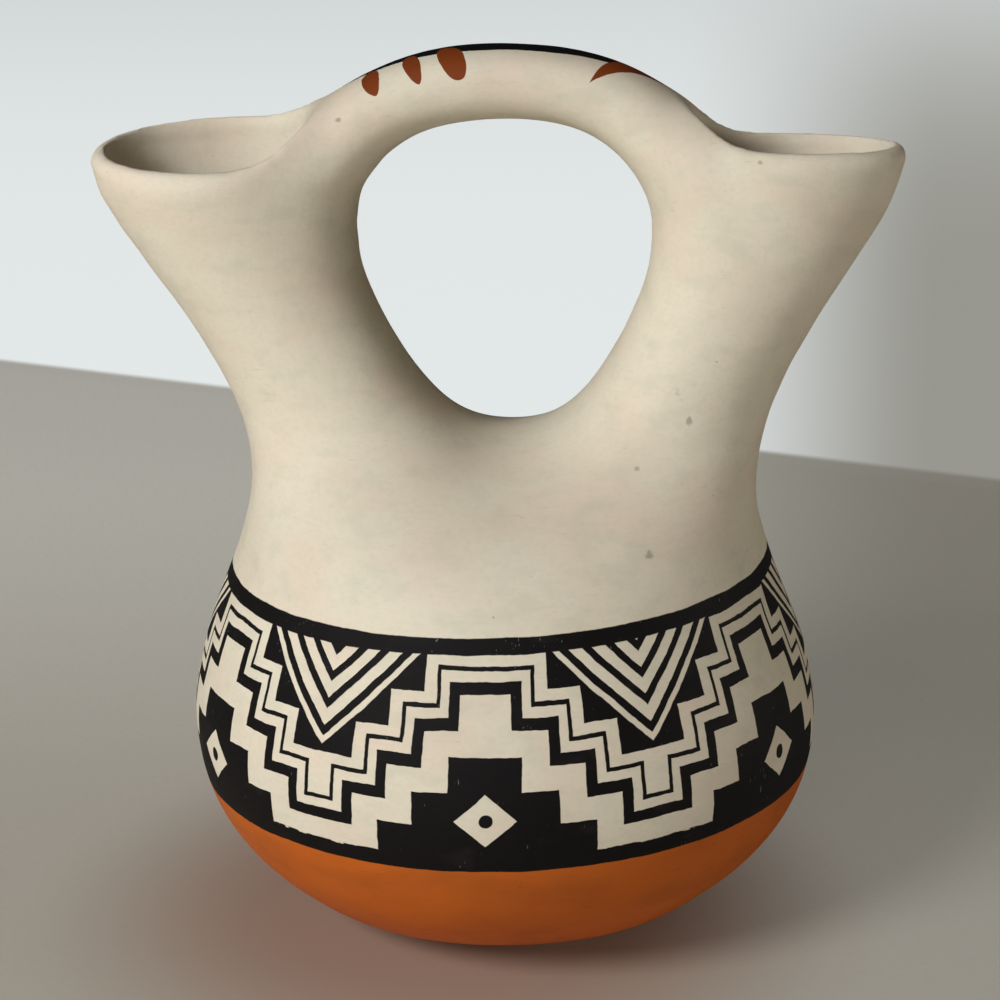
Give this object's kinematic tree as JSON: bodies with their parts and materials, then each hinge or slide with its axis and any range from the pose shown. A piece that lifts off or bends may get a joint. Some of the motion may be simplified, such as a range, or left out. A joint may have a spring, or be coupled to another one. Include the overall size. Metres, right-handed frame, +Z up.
{
  "type": "wedding vase",
  "caption": "Round hand built earthenware vase with a forked neck, two flared spouts and an arched coil handle between them.",
  "frame": {"origin": "middle of the flat foot, on the surface that the vase stands on", "axes": "+Z up, +X towards the right spout, +Y towards the back; the front faces -Y"},
  "size_m": [0.1374, 0.11, 0.1513],
  "materials": {
    "terracotta_slip": "stone burnished terracotta slip, unglazed",
    "painted_slip": "stone burnished cream slip with black mineral paint and terracotta slip fields",
    "cream_slip": "stone burnished cream slip, unglazed, with faint fire clouds",
    "handle_slip": "stone burnished cream slip with a painted crest line"
  },
  "bodies": {
    "root": {"base_bowl": "terracotta_slip", "body_wall": "painted_slip", "shoulder": "cream_slip", "left_spout": "cream_slip", "right_spout": "cream_slip", "handle": "handle_slip"}
  },
  "joints": []
}
